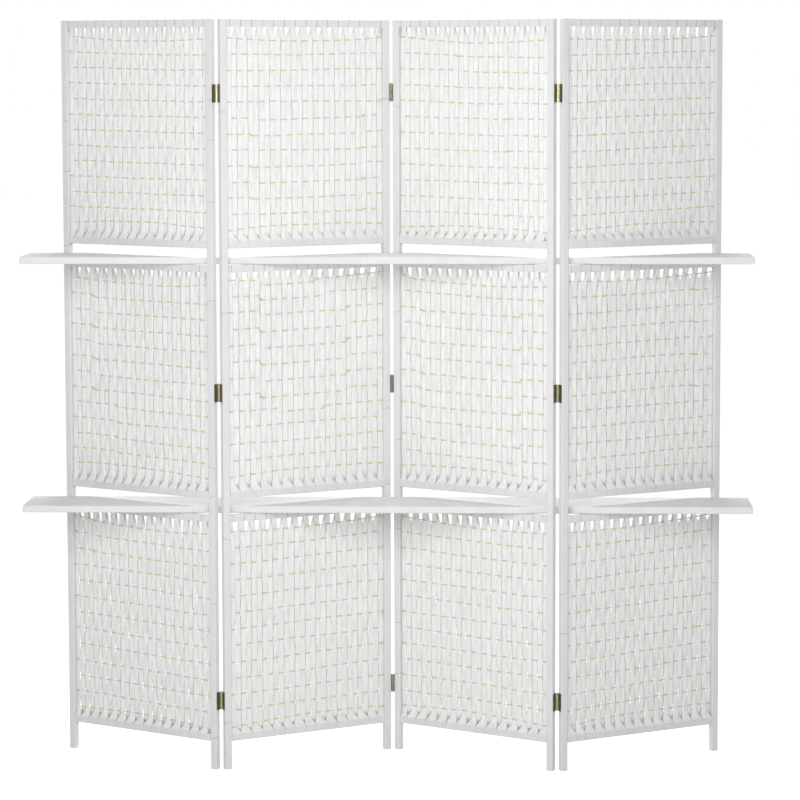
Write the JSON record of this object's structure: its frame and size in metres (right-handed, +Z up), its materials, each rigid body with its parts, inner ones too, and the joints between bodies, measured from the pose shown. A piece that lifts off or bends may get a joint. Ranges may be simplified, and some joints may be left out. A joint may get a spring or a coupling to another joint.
{
  "type": "folding screen with shelves",
  "caption": "Folding room screen of slim framed panels woven from twisted paper strips, hinged in a zigzag, with boards running through slots as shelves.",
  "frame": {"origin": "on the floor, under the middle of the shelves", "axes": "+Z up; +X along the shelves, to the right when seen from the front; +Y to the back, away from the folds that carry panels 1 and 2, and 3 and 4, towards the viewer"},
  "size_m": [1.7552, 0.2388, 1.8],
  "materials": {
    "wrapped_post": "softwood wrapped in white paper, matt",
    "rail_wood": "planed softwood, hidden in the paper",
    "twisted_paper": "white twisted paper strips, matt",
    "straw_twine": "two-ply straw-coloured twine woven across the paper strips",
    "shelf_board": "thin board wrapped in white paper, matt",
    "antique_brass": "antique brass, darkened edges"
  },
  "bodies": {
    "upper_shelf": {"upper_shelf": "shelf_board"},
    "lower_shelf": {"lower_shelf": "shelf_board"},
    "panel_1": {"panel_1_left_post": "wrapped_post", "panel_1_right_post": "wrapped_post", "panel_1_foot_rail": "rail_wood", "panel_1_lower_sill": "rail_wood", "panel_1_lower_header": "rail_wood", "panel_1_upper_sill": "rail_wood", "panel_1_upper_header": "rail_wood", "panel_1_lower_weave": "twisted_paper", "panel_1_middle_weave": "twisted_paper", "panel_1_upper_weave_and_top_rail": "twisted_paper", "fold_1_bottom_left_leaf": "antique_brass", "fold_1_middle_left_leaf": "antique_brass", "fold_1_top_left_leaf": "antique_brass"},
    "panel_2": {"panel_2_left_post": "wrapped_post", "panel_2_right_post": "wrapped_post", "panel_2_foot_rail": "rail_wood", "panel_2_lower_sill": "rail_wood", "panel_2_lower_header": "rail_wood", "panel_2_upper_sill": "rail_wood", "panel_2_upper_header": "rail_wood", "panel_2_lower_weave": "twisted_paper", "panel_2_middle_weave": "twisted_paper", "panel_2_upper_weave_and_top_rail": "twisted_paper", "fold_1_bottom_right_leaf": "antique_brass", "fold_1_middle_right_leaf": "antique_brass", "fold_1_top_right_leaf": "antique_brass", "fold_2_bottom_left_leaf": "antique_brass", "fold_2_middle_left_leaf": "antique_brass", "fold_2_top_left_leaf": "antique_brass"},
    "panel_3": {"panel_3_left_post": "wrapped_post", "panel_3_right_post": "wrapped_post", "panel_3_foot_rail": "rail_wood", "panel_3_lower_sill": "rail_wood", "panel_3_lower_header": "rail_wood", "panel_3_upper_sill": "rail_wood", "panel_3_upper_header": "rail_wood", "panel_3_lower_weave": "twisted_paper", "panel_3_middle_weave": "twisted_paper", "panel_3_upper_weave_and_top_rail": "twisted_paper", "fold_2_bottom_right_leaf": "antique_brass", "fold_2_middle_right_leaf": "antique_brass", "fold_2_top_right_leaf": "antique_brass", "fold_3_bottom_left_leaf": "antique_brass", "fold_3_middle_left_leaf": "antique_brass", "fold_3_top_left_leaf": "antique_brass"},
    "panel_4": {"panel_4_left_post": "wrapped_post", "panel_4_right_post": "wrapped_post", "panel_4_foot_rail": "rail_wood", "panel_4_lower_sill": "rail_wood", "panel_4_lower_header": "rail_wood", "panel_4_upper_sill": "rail_wood", "panel_4_upper_header": "rail_wood", "panel_4_lower_weave": "twisted_paper", "panel_4_middle_weave": "twisted_paper", "panel_4_upper_weave_and_top_rail": "twisted_paper", "fold_3_bottom_right_leaf": "antique_brass", "fold_3_middle_right_leaf": "antique_brass", "fold_3_top_right_leaf": "antique_brass"}
  },
  "joints": [
    {"name": "screen_fold", "type": "hinge", "parent": "upper_shelf", "child": "panel_2", "pos_m": [-0.19709, 0, 0], "axis": [0, 0, 1], "range_deg": [-5, 60]},
    {"name": "fold_1_hinge", "type": "hinge", "parent": "panel_2", "child": "panel_1", "pos_m": [-0.39918, -0.10397, 0], "axis": [0, 0, 1], "range_deg": [-120, 10]},
    {"name": "fold_2_hinge", "type": "hinge", "parent": "panel_2", "child": "panel_3", "pos_m": [0.005, 0.10397, 0], "axis": [0, 0, 1], "range_deg": [-120, 10]},
    {"name": "fold_3_hinge", "type": "hinge", "parent": "panel_3", "child": "panel_4", "pos_m": [0.40918, -0.10397, 0], "axis": [0, 0, 1], "range_deg": [-10, 120]},
    {"name": "lower_shelf_slide", "type": "slide", "parent": "upper_shelf", "child": "lower_shelf", "axis": [1, 0, 0], "range_m": [-0.7, 0.7]}
  ],
  "couplings": [
    {"joint": "fold_1_hinge", "follows": "screen_fold", "ratio": -2},
    {"joint": "fold_2_hinge", "follows": "screen_fold", "ratio": -2},
    {"joint": "fold_3_hinge", "follows": "screen_fold", "ratio": 2}
  ]
}
